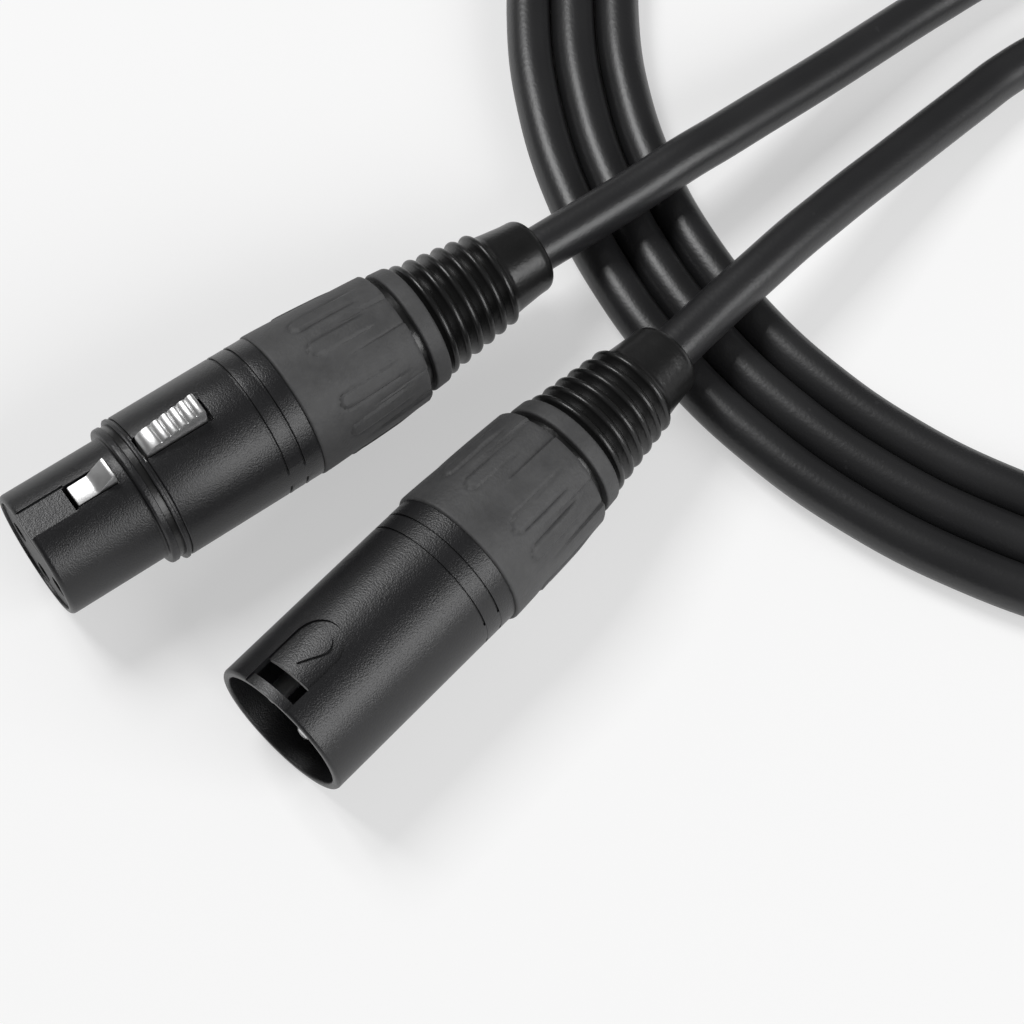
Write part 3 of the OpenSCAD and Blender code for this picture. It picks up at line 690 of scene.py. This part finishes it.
# %% [markdown]
# Finishes are node trees. To keep the maths readable, one small class wraps a socket so that
# plus, minus and times add the Math nodes, and one class builds a finish and adds any other node.

# %% Shader helpers
class Channel:
    """One socket of a finish. Arithmetic on it adds Math nodes."""

    def __init__(self, finish, socket):
        self.finish = finish
        self.socket = socket

    def worked(self, operation, first, second):
        return self.finish.node("ShaderNodeMath", {"operation": operation}, {0: first, 1: second})

    def __add__(self, other):
        return self.worked("ADD", self, other)

    def __sub__(self, other):
        return self.worked("SUBTRACT", self, other)

    def __rsub__(self, other):
        return self.worked("SUBTRACT", other, self)

    def __mul__(self, other):
        return self.worked("MULTIPLY", self, other)

    __radd__ = __add__
    __rmul__ = __mul__

    def above(self, edge, width):
        """Runs from 0 to 1 across an edge of some width."""
        return self.finish.node(
            "ShaderNodeMapRange", {"interpolation_type": "SMOOTHSTEP"},
            {"Value": self, "From Min": edge - width / 2, "From Max": edge + width / 2})


class Finish:
    """A material under construction: its surface shader, and a way to add any node."""

    def __init__(self, name, **constants):
        self.material = bpy.data.materials.new(name)
        self.material.use_nodes = True
        self.tree = self.material.node_tree
        self.surface = self.tree.nodes["Principled BSDF"]
        for label, value in constants.items():
            self.surface.inputs[label.replace("_", " ")].default_value = value

    def node(self, kind, settings=None, inputs=None, output=0):
        """Adds a node: its settings first, then a value or a link for each socket named."""
        made = self.tree.nodes.new(kind)
        for label, value in (settings or {}).items():
            setattr(made, label, value)
        for label, value in (inputs or {}).items():
            if isinstance(value, Channel):
                self.tree.links.new(value.socket, made.inputs[label])
            else:
                made.inputs[label].default_value = value
        return Channel(self, made.outputs[output])

    def feed(self, **channels):
        """Links channels to the surface shader's sockets."""
        for label, value in channels.items():
            self.tree.links.new(value.socket, self.surface.inputs[label.replace("_", " ")])

    def noise(self, size, detail=2.0):
        """Soft random grain whose features are about size metres wide."""
        place = self.node("ShaderNodeTexCoord", output="Object")
        return self.node(
            "ShaderNodeTexNoise", inputs={"Vector": place, "Scale": 1 / size, "Detail": detail})

    def relief(self, height, depth):
        """Bumps of some depth in metres where a height channel is high."""
        return self.node(
            "ShaderNodeBump", inputs={"Height": height, "Distance": depth, "Strength": 1.0},
            output="Normal")

    def blend(self, factor, first, second):
        """A colour between two colours."""
        return self.node(
            "ShaderNodeMix", {"data_type": "RGBA"}, {0: factor, 6: (*first, 1), 7: (*second, 1)},
            output=2)


print("shader helpers ready")

# %% [markdown]
# The table is a plain pale sheet that keeps a soft shadow. The camera and any polished surface
# see it almost white, through Light Path, with no extra lamp on the cable.

# %% Set the table
PALE = 0.96
SEEN_GLOW = 0.5

nothing_selected()
bpy.ops.mesh.primitive_plane_add(size=80, location=(0, 0, -0.00002))
table = bpy.context.object
table.name = "table"
pale = Finish("pale_table", Base_Color=(PALE, PALE, PALE, 1), Roughness=0.8)
seen = (pale.node("ShaderNodeLightPath", output="Is Camera Ray")
        + pale.node("ShaderNodeLightPath", output="Is Glossy Ray")
        + pale.node("ShaderNodeLightPath", output="Is Transmission Ray"))
glow = pale.node("ShaderNodeEmission", inputs={"Color": (1, 1, 1, 1), "Strength": 1.0})
mixed = pale.node("ShaderNodeMixShader", inputs={
    0: seen * SEEN_GLOW, 1: Channel(pale, pale.surface.outputs[0]), 2: glow})
pale.tree.links.new(mixed.socket, pale.tree.nodes["Material Output"].inputs["Surface"])
table.data.materials.append(pale.material)
print("table set")

# %% [markdown]
# Black objects show what they mirror more than their own colour. A square key lamp high at the
# left draws the bright band along each shell, and a wide lamp low at the right keeps the other
# flank from going black. A dim white world fills the rest.

# %% Light it softly
WORLD_STRENGTH = 0.13
LIT_POINT = (0.01, 0.03, 0)

world = bpy.data.worlds.new("studio")
bpy.context.scene.world = world
world.use_nodes = True
sky = world.node_tree.nodes["Background"]
sky.inputs["Color"].default_value = (1, 1, 1, 1)
sky.inputs["Strength"].default_value = WORLD_STRENGTH


def soft_lamp(name, place, width, height, power):
    """A rectangular lamp turned towards the connectors."""
    data = bpy.data.lights.new(name, "AREA")
    data.shape = "RECTANGLE"
    data.size = width
    data.size_y = height
    data.energy = power
    lamp = bpy.data.objects.new(name, data)
    bpy.context.scene.collection.objects.link(lamp)
    lamp.location = place
    towards = Vector(LIT_POINT) - lamp.location
    lamp.rotation_euler = towards.to_track_quat("-Z", "Y").to_euler()


soft_lamp("key_lamp", (-0.60, 0.02, 0.80), 0.38, 0.38, 5.8)
soft_lamp("side_lamp", (0.86, 0.12, 0.50), 0.9, 0.5, 7.6)
print("lamps set")

# %% [markdown]
# The jacket is soft black vinyl with a satin skin. Slow clouds vary its colour and gloss, a fine
# grain breaks the highlight, and sparse specks of dust lie on it.

# %% Finish the cable's jacket
jacket = Finish("cable_jacket_satin", Roughness=0.4, Specular_IOR_Level=0.6)
jacket_grain = jacket.noise(0.0005, 3.0)
jacket_cloud = jacket.noise(0.015, 2.0)
jacket_dust = jacket.noise(0.0011, 1.0).above(0.77, 0.05)
jacket.feed(
    Base_Color=jacket.blend(
        jacket_cloud * 0.6 + jacket_dust * 0.4, (0.009, 0.009, 0.010), (0.030, 0.030, 0.031)),
    Roughness=jacket_cloud * 0.08 + 0.34,
    Normal=jacket.relief(jacket_grain, 0.00003),
)
cable.data.materials.append(jacket.material)
print("jacket done")

# %% [markdown]
# The shells are cast metal under a satin black coat. The coat is almost black, and its fine
# grain shows only where the light band crosses it, in the gloss and in a low relief.

# %% Finish the shells
shell = Finish("shell_satin_black", Roughness=0.35, Specular_IOR_Level=0.5)
shell_grain = shell.noise(0.0002, 2.0)
shell_cloud = shell.noise(0.010, 2.0)
shell.feed(
    Base_Color=shell.blend(shell_cloud, (0.005, 0.005, 0.006), (0.011, 0.011, 0.012)),
    Roughness=shell_cloud * 0.08 + shell_grain * 0.12 + 0.27,
    Normal=shell.relief(shell_grain, 0.000045),
)
socket_shell.data.materials.append(shell.material)
print("shells done")

# %% [markdown]
# The grips are matte rubber, greyer than the shells and rubbed in patches. The boots are the same
# rubber with a glossier, blacker skin, except that their front collars look like the grips. So
# a boot wears both finishes, and the faces of its collar are told by their station.

# %% Finish the rubber
grip_finish = Finish("grip_rubber_matte", Roughness=0.7)
grip_grain = grip_finish.noise(0.0004, 4.0)
grip_cloud = grip_finish.noise(0.004, 4.0)
grip_rubbed = grip_finish.noise(0.0012, 3.0)
grip_finish.feed(
    Base_Color=grip_finish.blend(
        grip_cloud * 0.6 + grip_rubbed * 0.4, (0.022, 0.022, 0.023), (0.090, 0.090, 0.091)),
    Roughness=grip_cloud * 0.2 + 0.5,
    Normal=grip_finish.relief(grip_grain, 0.00006),
)
boot_finish = Finish("boot_rubber_satin", Roughness=0.4)
boot_cloud = boot_finish.noise(0.005, 3.0)
boot_finish.feed(
    Base_Color=boot_finish.blend(boot_cloud, (0.004, 0.004, 0.004), (0.011, 0.011, 0.011)),
    Roughness=boot_cloud * 0.12 + 0.26,
    Normal=boot_finish.relief(boot_finish.noise(0.0005, 3.0), 0.00003),
)
for piece in grips:
    piece.data.materials.append(grip_finish.material)
for side, kind, placing, front in CONNECTORS:
    boots[side].data.materials.append(boot_finish.material)
    boots[side].data.materials.append(grip_finish.material)
    standing = placing.inverted()
    for face in boots[side].data.polygons:
        if (standing @ face.center).z / MM < front + COLLAR_END - 0.05:
            face.material_index = 1
print("rubber done")

# %% [markdown]
# The latch, the contacts and the springs are plated metal with a soft sheen. The carriers and
# chucks are moulded plastic, and the conductors inside have smooth coloured insulation.

# %% Finish the metal and plastic
silver = Finish("latch_silver", Metallic=1.0, Roughness=0.3)
silver_cloud = silver.noise(0.001, 3.0)
silver.feed(
    Base_Color=silver.blend(silver_cloud, (0.66, 0.66, 0.66), (0.80, 0.80, 0.80)),
    Roughness=silver_cloud * 0.12 + 0.34,
    Normal=silver.relief(silver.noise(0.0003, 2.0), 0.00001),
)
lever.data.materials.append(silver.material)
moulded = Finish("carrier_moulded", Roughness=0.5)
moulded.feed(
    Base_Color=moulded.blend(
        moulded.noise(0.002, 3.0), (0.010, 0.010, 0.010), (0.018, 0.018, 0.018)),
    Normal=moulded.relief(moulded.noise(0.0004, 2.0), 0.00002),
)
red = Finish("wire_red", Roughness=0.4)
red.feed(Base_Color=red.blend(red.noise(0.002), (0.42, 0.02, 0.02), (0.5, 0.03, 0.03)))
white = Finish("wire_white", Roughness=0.4)
white.feed(Base_Color=white.blend(white.noise(0.002), (0.7, 0.7, 0.68), (0.8, 0.8, 0.78)))
print("metal and plastic done")

# %% [markdown]
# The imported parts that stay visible, or could be seen through an opening, wear the same finishes.
# Their shapes are left alone, and only their materials are swapped.

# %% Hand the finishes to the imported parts
WORN = {
    shell: ["female_shell", "male_shell"],
    grip_finish: ["female_grip", "male_grip"],
    boot_finish: ["female_boot", "male_boot", "female_back_nut", "male_back_nut",
                  "female_gasket"],
    silver: ["latch", "latch_spring", "latch_pin", "female_contact_1", "female_contact_2",
             "female_contact_3", "female_ground_contact", "male_ground_contact", "male_pin_1",
             "male_pin_2", "male_pin_3", "female_wire_1", "male_wire_1"],
    moulded: ["female_insert", "male_insert", "female_chuck", "male_chuck"],
    red: ["female_wire_2", "male_wire_2"],
    white: ["female_wire_3", "male_wire_3"],
}
for finish, names in WORN.items():
    for name in names:
        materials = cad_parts[name].data.materials
        materials.clear()
        materials.append(finish.material)
print("finishes on", sum(len(names) for names in WORN.values()), "parts")

# %% [markdown]
# Last, the view layer is brought up to date.

# %% Update the view layer
bpy.context.view_layer.update()
